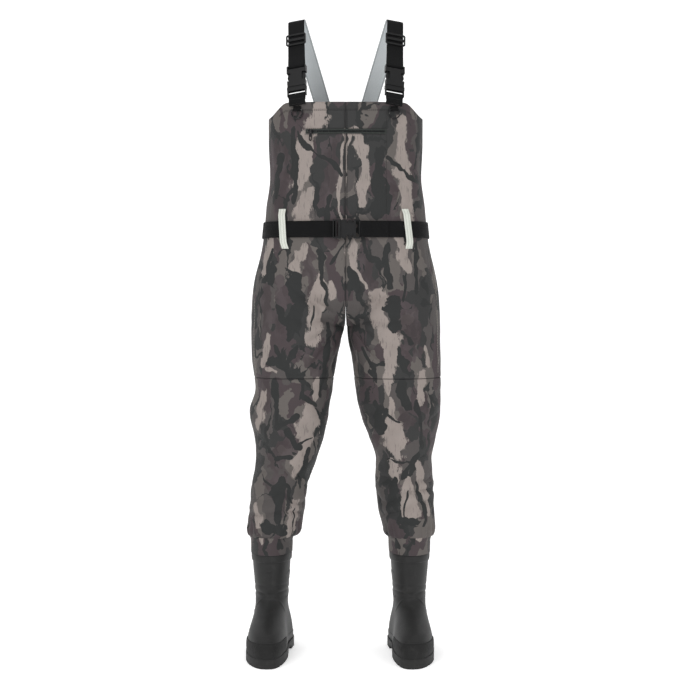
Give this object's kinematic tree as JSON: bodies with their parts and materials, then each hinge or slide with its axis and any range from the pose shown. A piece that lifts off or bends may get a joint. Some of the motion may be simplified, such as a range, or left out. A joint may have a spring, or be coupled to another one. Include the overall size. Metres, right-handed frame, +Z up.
{
  "type": "chest waders",
  "caption": "Chest waders: camouflage fabric bib and legs on welded rubber boots, with clip-on shoulder straps, waist belt, belt loops and a zipped chest pocket.",
  "frame": {"origin": "on the floor, under the middle of the bounding box of the standing waders", "axes": "+Z up along the body, -Y towards the front, +X to the wearer's left"},
  "size_m": [0.4444, 0.3302, 1.4371],
  "materials": {
    "camo_cloth": "woven bark camouflage print, matt laminated face",
    "seam_tape": "smooth heat-bonded tape",
    "pocket_lining": "plain weave lining",
    "black_webbing": "ribbed woven webbing",
    "grey_webbing": "woven elastic webbing, grey inside and black outside",
    "pale_webbing": "pale ribbed tape",
    "buckle_plastic": "moulded acetal, satin",
    "ring_metal": "dark plated wire",
    "zip_metal": "black painted die casting",
    "boot_rubber": "satin moulded rubber",
    "sole_rubber": "rough moulded rubber",
    "zip_tape": "water-resistant coated tape",
    "insole_felt": "pressed felt"
  },
  "bodies": {
    "garment": {"back_hem_facing": "camo_cloth", "back_seam_tape": "seam_tape", "belt_buckle_housing": "buckle_plastic", "belt_webbing": "black_webbing", "front_hem_facing": "camo_cloth", "front_seam_tape": "seam_tape", "left_back_belt_loop": "pale_webbing", "left_back_leg_panel": "camo_cloth", "left_back_panel": "camo_cloth", "left_bib_tab": "black_webbing", "left_boot_upper": "boot_rubber", "left_boot_weld_band": "boot_rubber", "left_buckle_insert": "buckle_plastic", "left_buckle_loop": "black_webbing", "left_cuff": "camo_cloth", "left_front_belt_loop": "pale_webbing", "left_front_leg_panel": "camo_cloth", "left_front_panel": "camo_cloth", "left_insole": "insole_felt", "left_outsole": "sole_rubber", "left_ring_keeper": "black_webbing", "left_shoulder_strap": "grey_webbing", "left_side_seam_tape": "seam_tape", "left_toe_cap": "sole_rubber", "pocket_bag": "pocket_lining", "right_back_belt_loop": "pale_webbing", "right_back_leg_panel": "camo_cloth", "right_back_panel": "camo_cloth", "right_bib_tab": "black_webbing", "right_boot_upper": "boot_rubber", "right_boot_weld_band": "boot_rubber", "right_buckle_insert": "buckle_plastic", "right_buckle_loop": "black_webbing", "right_cuff": "camo_cloth", "right_front_belt_loop": "pale_webbing", "right_front_leg_panel": "camo_cloth", "right_front_panel": "camo_cloth", "right_insole": "insole_felt", "right_outsole": "sole_rubber", "right_ring_keeper": "black_webbing", "right_shoulder_strap": "grey_webbing", "right_side_seam_tape": "seam_tape", "right_toe_cap": "sole_rubber", "zip_tape_lower": "zip_tape", "zip_tape_upper": "zip_tape"},
    "left_strap_housing": {"left_buckle_housing": "buckle_plastic"},
    "left_strap_prong_left": {"left_buckle_left_prong": "buckle_plastic"},
    "left_strap_prong_right": {"left_buckle_right_prong": "buckle_plastic"},
    "left_strap_adjuster": {"left_slide_adjuster": "buckle_plastic"},
    "left_accessory_ring": {"left_d_ring": "ring_metal"},
    "right_strap_housing": {"right_buckle_housing": "buckle_plastic"},
    "right_strap_prong_left": {"right_buckle_left_prong": "buckle_plastic"},
    "right_strap_prong_right": {"right_buckle_right_prong": "buckle_plastic"},
    "right_strap_adjuster": {"right_slide_adjuster": "buckle_plastic"},
    "right_accessory_ring": {"right_d_ring": "ring_metal"},
    "zip_slider": {"zip_slider": "zip_metal"},
    "zip_pull": {"zip_pull": "zip_metal"},
    "belt_insert": {"belt_buckle_insert": "buckle_plastic"},
    "belt_prong_left": {"belt_buckle_left_prong": "buckle_plastic"},
    "belt_prong_right": {"belt_buckle_right_prong": "buckle_plastic"}
  },
  "joints": [
    {"name": "left_strap_release", "type": "slide", "parent": "garment", "child": "left_strap_housing", "axis": [0.0224, 0.4312, 0.902], "range_m": [0, 0.032], "deforming": ["left_buckle_loop", "left_buckle_left_prong", "left_buckle_right_prong"]},
    {"name": "left_strap_prong_left_squeeze", "type": "hinge", "parent": "garment", "child": "left_strap_prong_left", "pos_m": [0.1239, -0.05292, 1.2752], "axis": [-0.2886, 0.8666, -0.4071], "range_deg": [-9, 0], "stiffness_Nm_per_rad": 0.35},
    {"name": "left_strap_prong_right_squeeze", "type": "hinge", "parent": "garment", "child": "left_strap_prong_right", "pos_m": [0.10189, -0.0587, 1.2785], "axis": [-0.2886, 0.8666, -0.4071], "range_deg": [0, 9], "stiffness_Nm_per_rad": 0.35},
    {"name": "left_strap_adjust", "type": "slide", "parent": "garment", "child": "left_strap_adjuster", "axis": [0.0224, 0.4312, 0.902], "range_m": [0, 0.02]},
    {"name": "left_ring_swing", "type": "hinge", "parent": "garment", "child": "left_accessory_ring", "pos_m": [0.1127, -0.07491, 1.2228], "axis": [-0.9488, -0.316, 0], "range_deg": [0, 120]},
    {"name": "right_strap_release", "type": "slide", "parent": "garment", "child": "right_strap_housing", "axis": [-0.0224, 0.4312, 0.902], "range_m": [0, 0.032], "deforming": ["right_buckle_loop", "right_buckle_left_prong", "right_buckle_right_prong"]},
    {"name": "right_strap_prong_left_squeeze", "type": "hinge", "parent": "garment", "child": "right_strap_prong_left", "pos_m": [-0.09232, -0.0587, 1.2785], "axis": [0.2886, 0.8666, -0.4071], "range_deg": [-9, 0], "stiffness_Nm_per_rad": 0.35},
    {"name": "right_strap_prong_right_squeeze", "type": "hinge", "parent": "garment", "child": "right_strap_prong_right", "pos_m": [-0.11434, -0.05292, 1.2752], "axis": [0.2886, 0.8666, -0.4071], "range_deg": [0, 9], "stiffness_Nm_per_rad": 0.35},
    {"name": "right_strap_adjust", "type": "slide", "parent": "garment", "child": "right_strap_adjuster", "axis": [-0.0224, 0.4312, 0.902], "range_m": [0, 0.02]},
    {"name": "right_ring_swing", "type": "hinge", "parent": "garment", "child": "right_accessory_ring", "pos_m": [-0.10313, -0.07491, 1.2228], "axis": [-0.9488, 0.316, 0], "range_deg": [0, 120]},
    {"name": "zip_slide", "type": "hinge", "parent": "garment", "child": "zip_slider", "pos_m": [0.00478, 0.57773, 1.175], "axis": [0, 0, 1], "range_deg": [0, 13]},
    {"name": "zip_pull_lift", "type": "hinge", "parent": "zip_slider", "child": "zip_pull", "pos_m": [-0.07304, -0.0865, 1.17797], "axis": [-0.9932, 0.1164, 0], "range_deg": [0, 150]},
    {"name": "belt_release", "type": "slide", "parent": "garment", "child": "belt_insert", "axis": [-1, 0, 0], "range_m": [0, 0.03], "deforming": ["belt_buckle_left_prong", "belt_buckle_right_prong"]},
    {"name": "belt_prong_left_squeeze", "type": "hinge", "parent": "belt_insert", "child": "belt_prong_left", "pos_m": [-0.00422, -0.1004, 0.9485], "axis": [0, 1, 0], "range_deg": [-9, 0], "stiffness_Nm_per_rad": 0.35},
    {"name": "belt_prong_right_squeeze", "type": "hinge", "parent": "belt_insert", "child": "belt_prong_right", "pos_m": [-0.00422, -0.1004, 0.9715], "axis": [0, 1, 0], "range_deg": [0, 9], "stiffness_Nm_per_rad": 0.35}
  ],
  "couplings": [
    {"joint": "left_strap_prong_right_squeeze", "follows": "left_strap_prong_left_squeeze", "ratio": -1},
    {"joint": "right_strap_prong_right_squeeze", "follows": "right_strap_prong_left_squeeze", "ratio": -1},
    {"joint": "belt_prong_right_squeeze", "follows": "belt_prong_left_squeeze", "ratio": -1}
  ]
}
